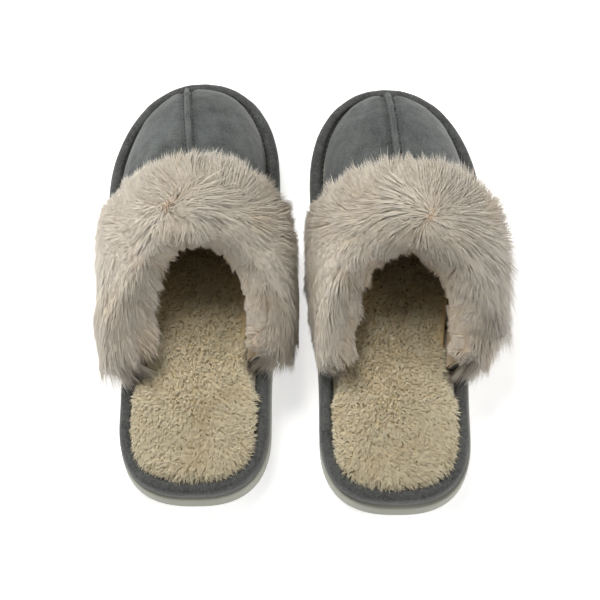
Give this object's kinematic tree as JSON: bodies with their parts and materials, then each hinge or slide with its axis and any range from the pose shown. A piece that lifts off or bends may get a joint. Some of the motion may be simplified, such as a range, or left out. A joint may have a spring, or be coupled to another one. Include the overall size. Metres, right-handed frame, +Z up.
{
  "type": "fluffy house slippers",
  "caption": "Pair of open-heel house slippers with a closed suede toe, raised centre seam, long-pile fur collar, plush footbed and moulded rubber sole.",
  "frame": {"origin": "middle of the pair's bounding box, on the ground under the soles", "axes": "+Z up, +Y from heels to toes, +X towards the right slipper"},
  "size_m": [0.2348, 0.2718, 0.0891],
  "materials": {
    "outsole_rubber": "satin moulded cream",
    "fibre_board": "matt pressed fibre",
    "white_foam": "matt closed-cell foam",
    "rim_suede": "matt brushed microsuede, dark grey",
    "upper_suede": "matt brushed microsuede, grey",
    "footbed_plush": "short curled plush, warm cream",
    "lining_plush": "short plush, beige",
    "collar_fur": "long soft pile, off-white with pinkish tan roots",
    "grey_thread": "matt polyester thread",
    "cream_thread": "matt polyester thread"
  },
  "bodies": {
    "left_slipper": {"left_outsole": "outsole_rubber", "left_insole_board": "fibre_board", "left_midsole_foam": "white_foam", "left_rim_wrap": "rim_suede", "left_footbed_plush": "footbed_plush", "left_vamp_medial": "upper_suede", "left_vamp_lateral": "upper_suede", "left_vamp_ridge": "upper_suede", "left_vamp_foam": "white_foam", "left_vamp_lining": "lining_plush", "left_fur_cuff": "collar_fur", "left_rim_stitch": "grey_thread", "left_vamp_stitch": "grey_thread", "left_ridge_stitch_medial": "grey_thread", "left_ridge_stitch_lateral": "grey_thread", "left_cuff_stitch": "cream_thread"},
    "right_slipper": {"right_outsole": "outsole_rubber", "right_insole_board": "fibre_board", "right_midsole_foam": "white_foam", "right_rim_wrap": "rim_suede", "right_footbed_plush": "footbed_plush", "right_vamp_medial": "upper_suede", "right_vamp_lateral": "upper_suede", "right_vamp_ridge": "upper_suede", "right_vamp_foam": "white_foam", "right_vamp_lining": "lining_plush", "right_fur_cuff": "collar_fur", "right_rim_stitch": "grey_thread", "right_vamp_stitch": "grey_thread", "right_ridge_stitch_medial": "grey_thread", "right_ridge_stitch_lateral": "grey_thread", "right_cuff_stitch": "cream_thread"}
  },
  "joints": [
    {"name": "lift_right_slipper", "type": "slide", "parent": "left_slipper", "child": "right_slipper", "axis": [0, 0, 1], "range_m": [0, 0.15]}
  ]
}
